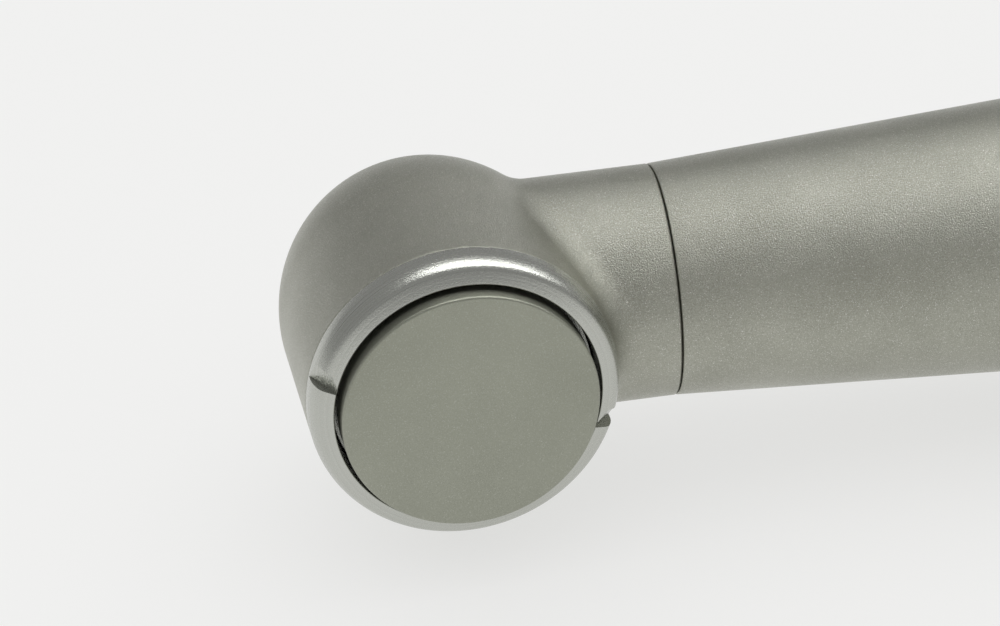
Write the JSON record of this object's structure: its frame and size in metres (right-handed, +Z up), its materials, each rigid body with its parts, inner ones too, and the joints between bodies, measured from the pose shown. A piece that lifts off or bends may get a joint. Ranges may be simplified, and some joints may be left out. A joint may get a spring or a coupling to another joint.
{
  "type": "dental high speed handpiece",
  "caption": "Air turbine dental handpiece: push button head with a bur chuck on a bent, tapering hollow handle that ends in a threaded hose connector.",
  "frame": {"origin": "centre of the bur chuck mouth", "axes": "+Y out of the chuck along the bur, +X along the neck to the handle and the hose, +Z up, square to the plane of the bent handle, with the handpiece lying on its side"},
  "size_m": [0.1294, 0.0456, 0.0164],
  "materials": {
    "blasted_body": "fine bead-blasted satin, warm grey",
    "satin_ring": "turned and finely blasted satin, a little brighter than the body",
    "button_face": "fine matte blasted face with a bright turned edge",
    "bright_steel": "ground and polished",
    "spring_steel": "drawn wire",
    "turbine_metal": "milled",
    "cage_resin": "fabric-filled resin",
    "spacer_resin": "moulded matte",
    "seal_rubber": "smooth matte",
    "turned_connector": "turned, with fine lathe lines"
  },
  "bodies": {
    "body": {"head_housing": "blasted_body", "handle_shell": "blasted_body", "head_cap": "satin_ring", "button_spring": "spring_steel", "spray_ring": "bright_steel", "preload_washer": "spring_steel", "bearing_sleeve": "bright_steel", "front_o_ring": "seal_rubber", "rear_o_ring": "seal_rubber", "neck_o_ring": "seal_rubber", "connector_o_rings": "seal_rubber", "drive_air_pipe": "bright_steel", "water_pipe": "bright_steel", "chip_air_pipe": "bright_steel", "pipe_spacer": "spacer_resin", "connector_body": "turned_connector", "lock_ring": "turned_connector", "drive_air_nipple": "bright_steel", "exhaust_nipple": "bright_steel", "water_nipple": "bright_steel", "chip_air_nipple": "bright_steel", "front_outer_race": "bright_steel", "front_shield": "spring_steel", "rear_outer_race": "bright_steel", "rear_shield": "spring_steel"},
    "button": {"push_button": "button_face", "button_clip": "spring_steel"},
    "rotor": {"spindle": "bright_steel", "chuck": "bright_steel", "impeller": "turbine_metal", "front_inner_race": "bright_steel", "rear_inner_race": "bright_steel", "chuck_spring": "spring_steel"},
    "plunger": {"release_plunger": "bright_steel"},
    "front_ball_set": {"front_balls": "bright_steel", "front_cage": "cage_resin"},
    "rear_ball_set": {"rear_balls": "bright_steel", "rear_cage": "cage_resin"}
  },
  "joints": [
    {"name": "button_press", "type": "slide", "parent": "body", "child": "button", "axis": [0, 1, 0], "range_m": [0, 0.0005], "stiffness_N_per_m": 2000, "springref_m": -0.001, "deforming": ["button_spring"]},
    {"name": "rotor_spin", "type": "hinge", "parent": "body", "child": "rotor", "pos_m": [0, 0, 0], "axis": [0, 1, 0], "continuous": true},
    {"name": "plunger_slide", "type": "slide", "parent": "rotor", "child": "plunger", "axis": [0, 1, 0], "range_m": [0, 0.00042], "deforming": ["chuck_spring"]},
    {"name": "front_cage_spin", "type": "hinge", "parent": "body", "child": "front_ball_set", "pos_m": [0, 0, 0], "axis": [0, 1, 0], "continuous": true},
    {"name": "rear_cage_spin", "type": "hinge", "parent": "body", "child": "rear_ball_set", "pos_m": [0, 0, 0], "axis": [0, 1, 0], "continuous": true}
  ],
  "couplings": [
    {"joint": "plunger_slide", "follows": "button_press", "ratio": 0.84},
    {"joint": "front_cage_spin", "follows": "rotor_spin", "ratio": 0.395},
    {"joint": "rear_cage_spin", "follows": "rotor_spin", "ratio": 0.395}
  ]
}
